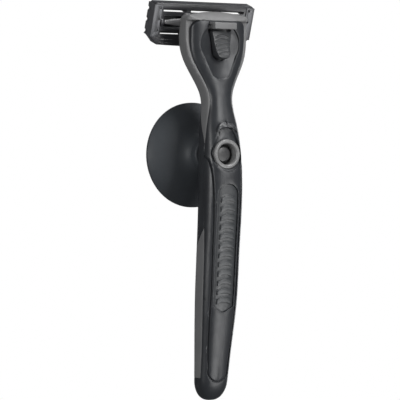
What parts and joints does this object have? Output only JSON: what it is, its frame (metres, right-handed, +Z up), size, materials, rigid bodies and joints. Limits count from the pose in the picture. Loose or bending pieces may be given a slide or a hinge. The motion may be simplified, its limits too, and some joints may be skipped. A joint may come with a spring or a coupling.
{
  "type": "cartridge razor",
  "caption": "Hand razor with a pivoting blade cartridge, a thumb eject button and a suction cup whose knob carries the handle by its ring.",
  "frame": {"origin": "middle of the suction cup's rim, on the wall's plane", "axes": "+Y into the wall, +Z up the handle towards the cartridge, +X to the right seen from the thumb side"},
  "size_m": [0.0412, 0.0261, 0.1416],
  "materials": {
    "cover_rubber": "fine matt soft-touch",
    "chassis_grey": "satin moulded",
    "ring_grey": "satin moulded",
    "button_rubber": "ribbed matt",
    "inlay_rubber": "satin soft-touch",
    "inner_plastic": "plain moulded",
    "cartridge_plastic": "fine satin",
    "yoke_grey": "satin moulded",
    "clip_metal": "dark satin",
    "blade_steel": "ground and polished",
    "support_steel": "rolled sheet",
    "strip_polymer": "waxy",
    "fin_rubber": "matt",
    "spring_steel": "drawn wire",
    "cup_rubber": "smooth satin",
    "knob_plastic": "satin moulded"
  },
  "bodies": {
    "cup": {"suction_cup": "cup_rubber"},
    "knob": {"hanger_knob": "knob_plastic"},
    "handle": {"chassis": "chassis_grey", "front_cover": "cover_rubber", "back_cover": "cover_rubber", "grip_inlay": "inlay_rubber", "ring_grommet": "ring_grey", "button_spring": "spring_steel", "plunger_spring": "spring_steel"},
    "ejector": {"eject_button": "button_rubber", "ejector_fork": "inner_plastic"},
    "plunger": {"plunger": "inner_plastic"},
    "connector": {"connector_yoke": "yoke_grey"},
    "cartridge": {"cartridge_frame": "cartridge_plastic", "left_clip": "clip_metal", "right_clip": "clip_metal", "blade_1": "blade_steel", "blade_2": "blade_steel", "blade_3": "blade_steel", "blade_support_1": "support_steel", "blade_support_2": "support_steel", "blade_support_3": "support_steel", "lubricating_strip": "strip_polymer", "guard_fins": "fin_rubber"}
  },
  "joints": [
    {"name": "razor_swing", "type": "hinge", "parent": "cup", "child": "knob", "pos_m": [0, 0, 0], "axis": [0, 1, 0], "continuous": true},
    {"name": "razor_pull_off", "type": "slide", "parent": "knob", "child": "handle", "axis": [0, -1, 0], "range_m": [0, 0.03]},
    {"name": "eject_button_slide", "type": "slide", "parent": "handle", "child": "ejector", "axis": [0, 0, 1], "range_m": [0, 0.0022], "stiffness_N_per_m": 300, "springref_m": -0.002, "deforming": ["button_spring"]},
    {"name": "cartridge_lift_off", "type": "slide", "parent": "ejector", "child": "connector", "axis": [0, 0, 1], "range_m": [0, 0.012]},
    {"name": "cartridge_pivot", "type": "hinge", "parent": "connector", "child": "cartridge", "pos_m": [0, -0.00673, 0.04684], "axis": [-1, 0, 0], "range_deg": [0, 22], "stiffness_Nm_per_rad": 0.008, "springref_deg": -17.19},
    {"name": "plunger_slide", "type": "slide", "parent": "handle", "child": "plunger", "axis": [0, -1, 0], "range_m": [0, 0.00231], "deforming": ["plunger_spring"]}
  ],
  "couplings": [
    {"joint": "plunger_slide", "follows": "cartridge_pivot", "m_per_rad": 0.00599}
  ]
}
